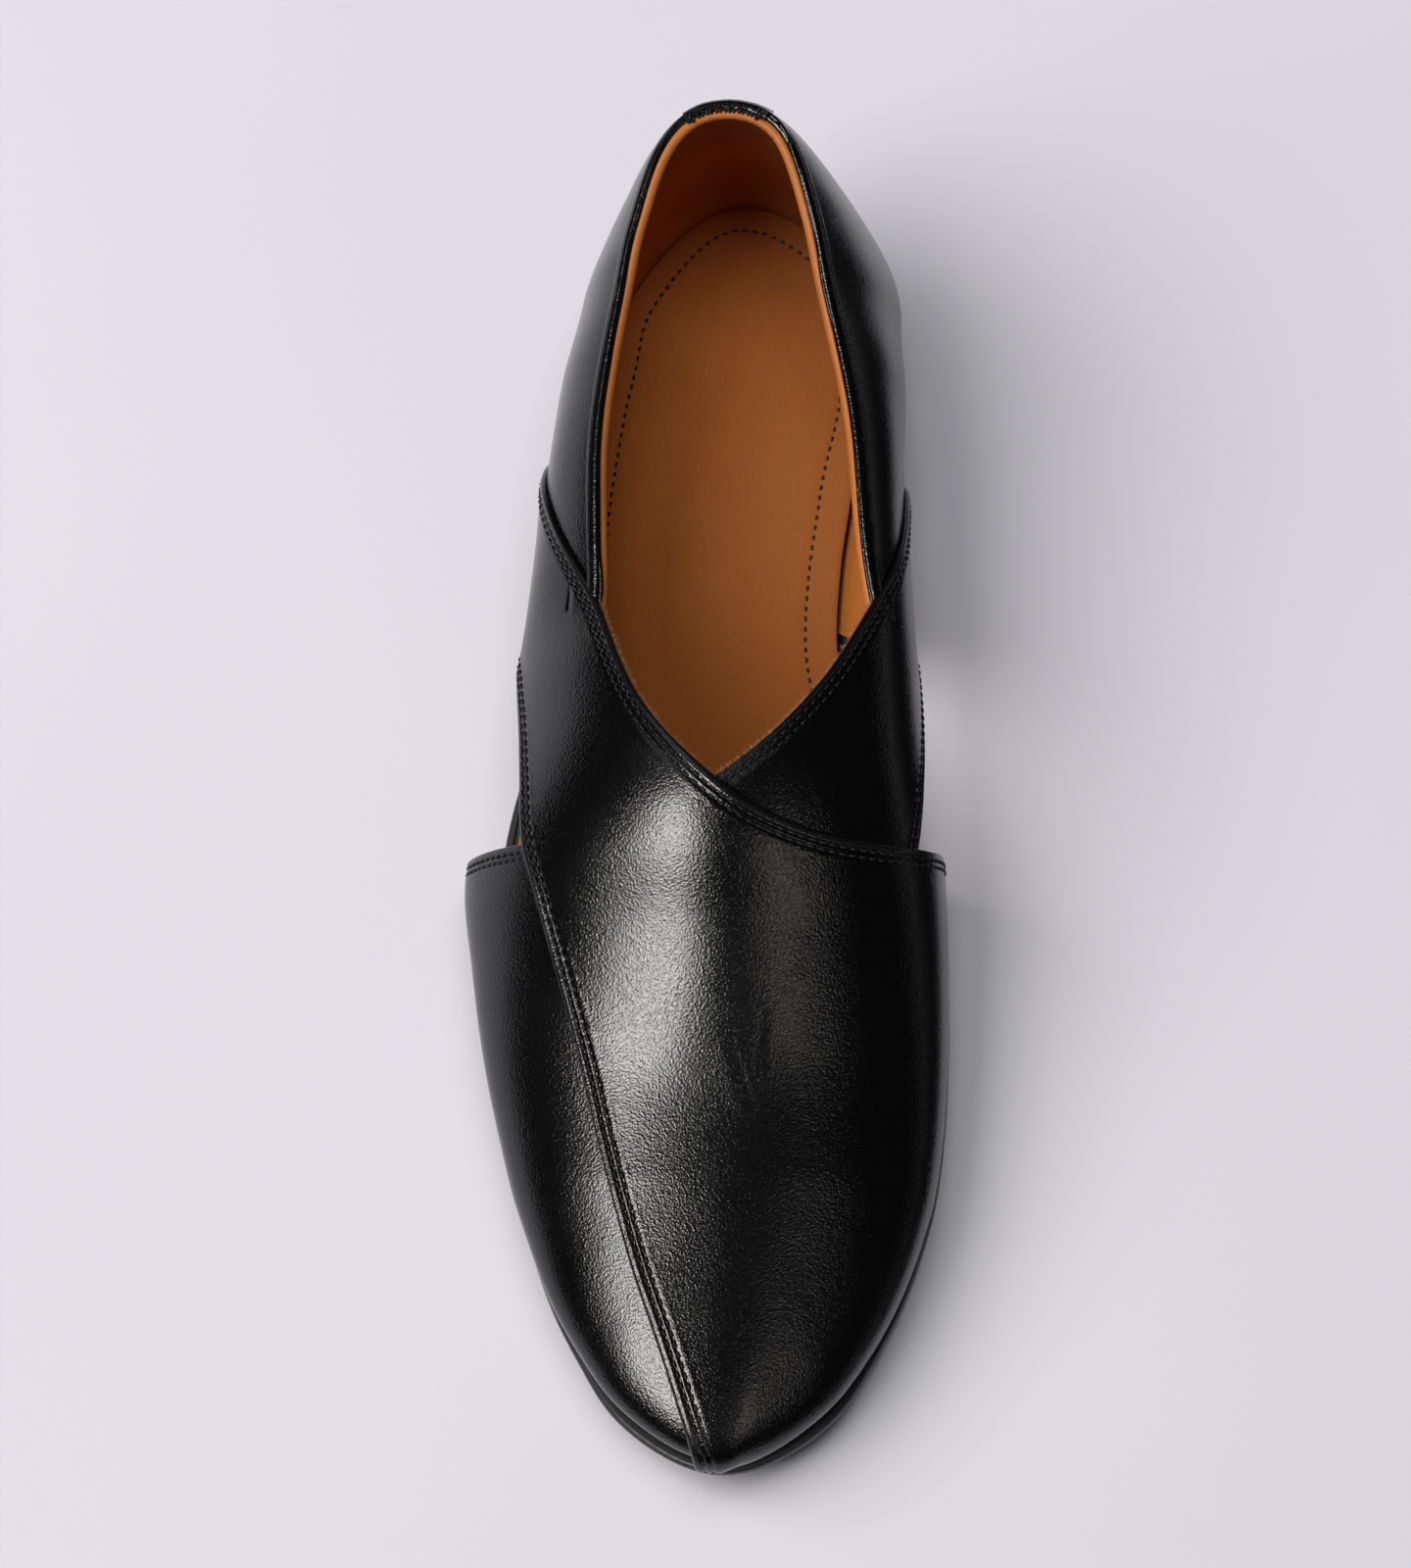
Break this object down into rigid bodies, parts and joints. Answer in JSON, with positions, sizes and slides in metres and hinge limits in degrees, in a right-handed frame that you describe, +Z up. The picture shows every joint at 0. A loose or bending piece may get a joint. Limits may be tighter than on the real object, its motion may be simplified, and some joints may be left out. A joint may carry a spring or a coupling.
{
  "type": "peshawari chappal",
  "caption": "Closed-toe black leather slip-on in the manner of a peshawari chappal: crossed instep pieces, side cut-outs, closed heel, low stacked heel, tan lining.",
  "frame": {"origin": "middle of the shoe's box, on the floor it stands on", "axes": "+X towards the inner side of the foot, +Y from toe to heel, +Z up"},
  "size_m": [0.1058, 0.2902, 0.0871],
  "materials": {
    "upper_leather": "black full-grain calf, polished, fine grain",
    "lining_leather": "tan vegetable-tanned leather, semi-matt",
    "thread": "waxed black sewing thread",
    "sole_rubber": "smooth black rubber, dull",
    "heel_stack": "stacked leather, stained black and burnished"
  },
  "bodies": {
    "root": {"outsole": "sole_rubber", "heel": "heel_stack", "top_lift": "sole_rubber", "insole": "lining_leather", "upper": "upper_leather", "heel_tab": "upper_leather"}
  },
  "joints": []
}
